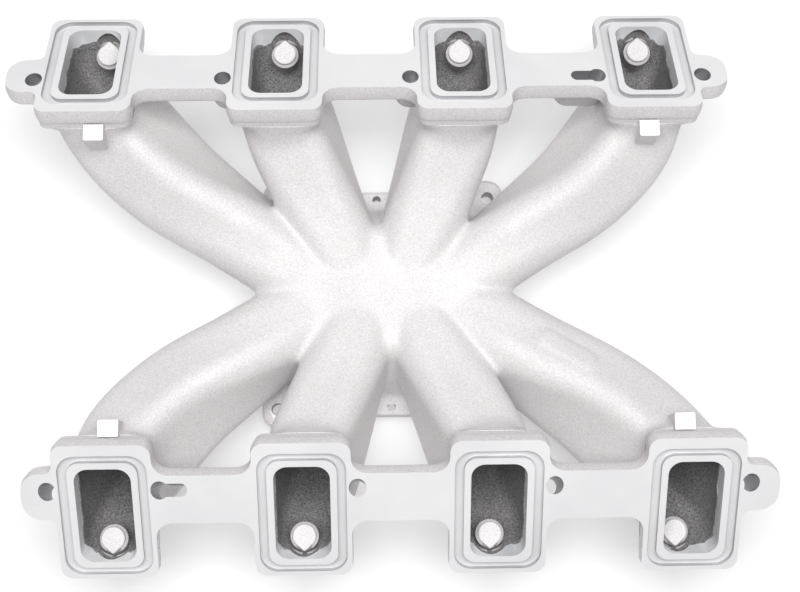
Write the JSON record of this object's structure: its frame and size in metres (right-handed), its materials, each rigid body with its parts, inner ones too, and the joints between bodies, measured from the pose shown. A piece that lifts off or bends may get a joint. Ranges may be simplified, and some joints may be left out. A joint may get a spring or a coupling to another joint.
{
  "type": "intake manifold",
  "caption": "Cast aluminium single-plane intake manifold for a V8 engine: plenum, curved runners to two ported head flanges, and a square carburettor flange.",
  "frame": {"origin": "centre of the carburettor flange's face, which is the lowest plane of the part as it lies upside down", "axes": "+X along the crankshaft, +Y across the engine towards the left bank's head flange, +Z out of the plenum floor; in the car the part is turned over, so +Z points down"},
  "size_m": [0.448, 0.341, 0.1166],
  "materials": {
    "as_cast": "sand-cast aluminium, matte light grey with a fine grain",
    "machined": "machined aluminium, satin, near white"
  },
  "bodies": {
    "root": {"carburettor_flange": "machined", "plenum": "as_cast", "head_flange_left": "machined", "runner_1_left": "as_cast", "injector_boss_1_left": "as_cast", "runner_2_left": "as_cast", "injector_boss_2_left": "as_cast", "runner_3_left": "as_cast", "injector_boss_3_left": "as_cast", "runner_4_left": "as_cast", "injector_boss_4_left": "as_cast", "datum_lug_1_left": "machined", "datum_lug_4_left": "machined", "head_flange_right": "machined", "runner_1_right": "as_cast", "injector_boss_1_right": "as_cast", "runner_2_right": "as_cast", "injector_boss_2_right": "as_cast", "runner_3_right": "as_cast", "injector_boss_3_right": "as_cast", "runner_4_right": "as_cast", "injector_boss_4_right": "as_cast", "datum_lug_1_right": "machined", "datum_lug_4_right": "machined"}
  },
  "joints": []
}
